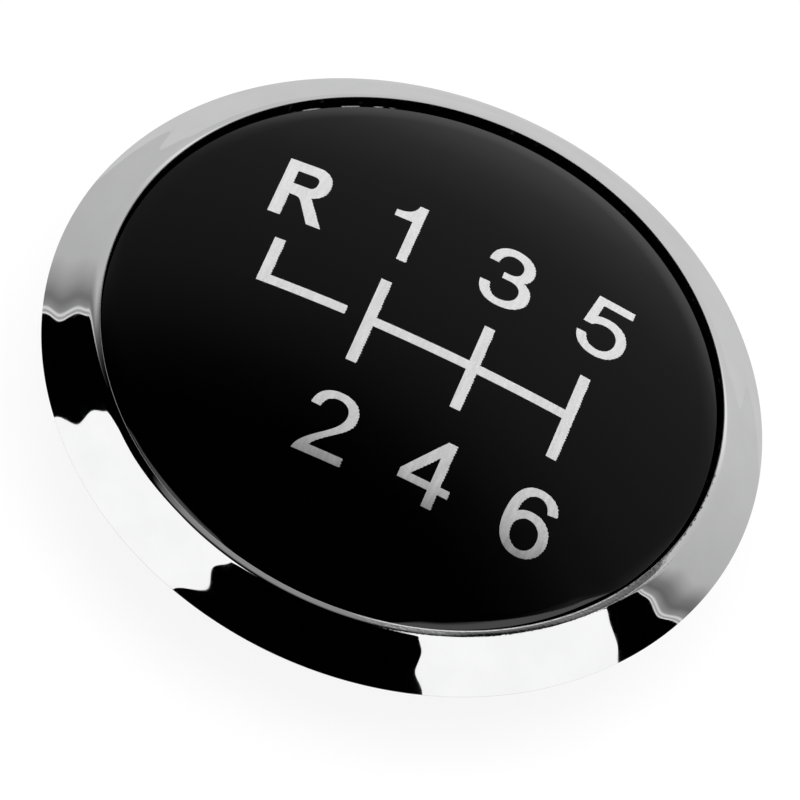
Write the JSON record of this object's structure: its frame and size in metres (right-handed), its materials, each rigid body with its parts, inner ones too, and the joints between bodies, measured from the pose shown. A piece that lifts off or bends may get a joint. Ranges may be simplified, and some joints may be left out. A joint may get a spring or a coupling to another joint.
{
  "type": "gear shift knob cap",
  "caption": "Round snap-in cap for the top of a gear shift knob: a chrome bezel with sprung snap legs around a domed gloss black disc that shows the shift pattern.",
  "frame": {"origin": "centre of the annular seat under the rim, where the cap rests on the knob", "axes": "+Z out of the face towards the hand, +X to the right of the shift pattern, +Y to its top, the front of the car"},
  "size_m": [0.038, 0.038, 0.0091],
  "materials": {
    "chrome_plating": "mirror-bright plating on a plastic moulding",
    "black_lacquer": "gloss black lacquer on thin sheet",
    "bare_metal": "fine brushed bare metal, for the shift pattern",
    "adhesive": "double-sided film"
  },
  "bodies": {
    "root": {"bezel": "chrome_plating", "face_disc": "black_lacquer", "adhesive_film": "adhesive"}
  },
  "joints": []
}
